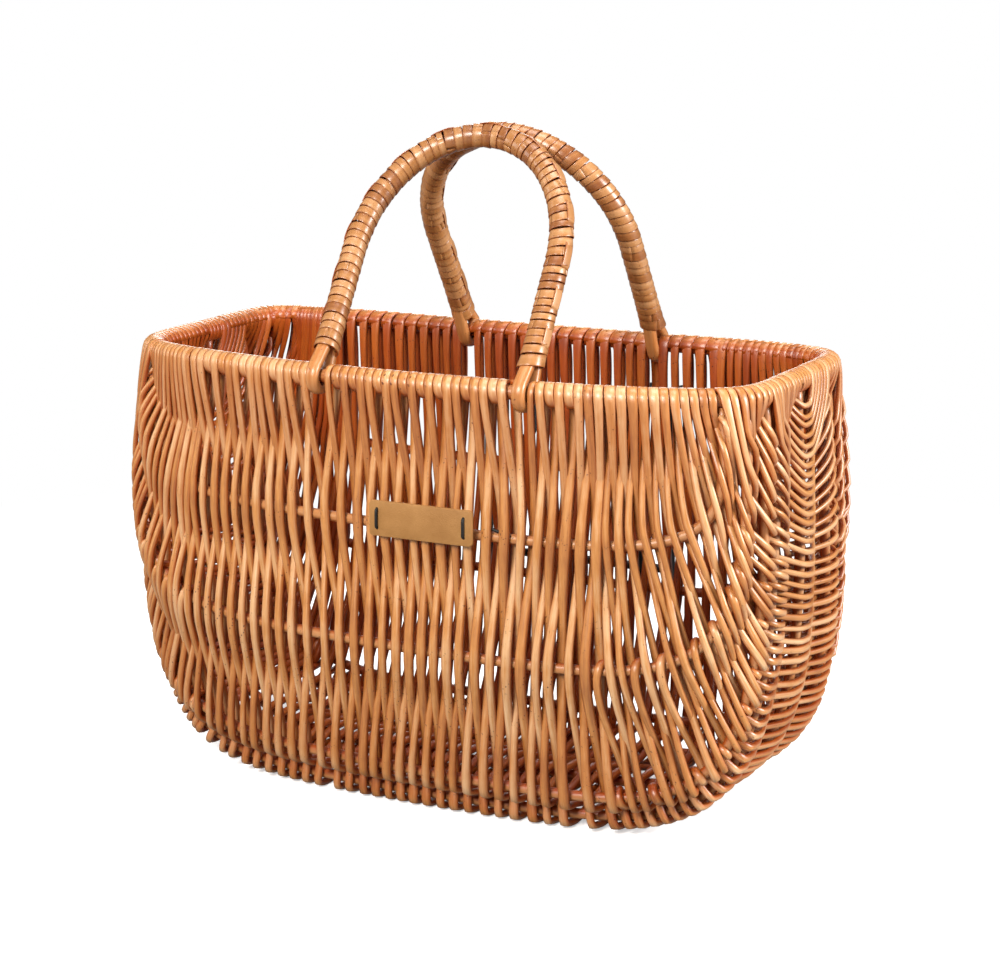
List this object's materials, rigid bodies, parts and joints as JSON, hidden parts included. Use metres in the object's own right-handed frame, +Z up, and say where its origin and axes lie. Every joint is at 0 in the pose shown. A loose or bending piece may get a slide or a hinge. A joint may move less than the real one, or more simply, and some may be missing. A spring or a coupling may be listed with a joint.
{
  "type": "wicker shopping basket",
  "caption": "Deep oval willow basket woven over ribs hung from a rim hoop, with two bound swing handles, a leather label and a wire hanger on its back.",
  "frame": {"origin": "middle of the whole part's footprint, on the ground that the woven base stands on", "axes": "+Z up, +X along the basket's length towards its right end as seen from the label's side, -Y out of the front wall that carries the label"},
  "size_m": [0.4492, 0.2538, 0.4243],
  "materials": {
    "rim_willow": "peeled willow, satin",
    "rib_willow": "peeled willow, satin",
    "woven_willow": "split willow, satin with a slight gloss",
    "handle_willow": "peeled willow, satin",
    "bound_willow": "flat willow strip, semi-gloss",
    "label_leather": "smooth tan leather, matte",
    "black_thread": "waxed thread, matte",
    "black_wire": "black coated steel wire, satin"
  },
  "bodies": {
    "basket": {"rim_hoop": "rim_willow", "rib_front_upper": "rib_willow", "rib_front_middle": "rib_willow", "rib_front_lower": "rib_willow", "rib_base_front": "rib_willow", "rib_base_centre": "rib_willow", "rib_base_back": "rib_willow", "rib_back_lower": "rib_willow", "rib_back_middle": "rib_willow", "rib_back_upper": "rib_willow", "weaver_01": "woven_willow", "weaver_02": "woven_willow", "weaver_03": "woven_willow", "weaver_04": "woven_willow", "weaver_05": "woven_willow", "weaver_06": "woven_willow", "weaver_07": "woven_willow", "weaver_08": "woven_willow", "weaver_09": "woven_willow", "weaver_10": "woven_willow", "weaver_11": "woven_willow", "weaver_12": "woven_willow", "weaver_13": "woven_willow", "weaver_14": "woven_willow", "label": "label_leather", "label_stitch_left": "black_thread", "label_stitch_right": "black_thread", "hanger_hook_left": "black_wire", "hanger_hook_right": "black_wire", "hanger_crossbar": "black_wire"},
    "front_handle": {"front_handle_rod": "handle_willow", "front_handle_binding": "bound_willow"},
    "back_handle": {"back_handle_rod": "handle_willow", "back_handle_binding": "bound_willow"}
  },
  "joints": [
    {"name": "front_handle_swing", "type": "hinge", "parent": "basket", "child": "front_handle", "pos_m": [0.01384, -0.11284, 0.27613], "axis": [0.9998, 0.019, 0], "range_deg": [0, 180]},
    {"name": "back_handle_swing", "type": "hinge", "parent": "basket", "child": "back_handle", "pos_m": [0.01384, 0.08348, 0.27613], "axis": [-1, -0.0038, 0], "range_deg": [0, 140]}
  ]
}
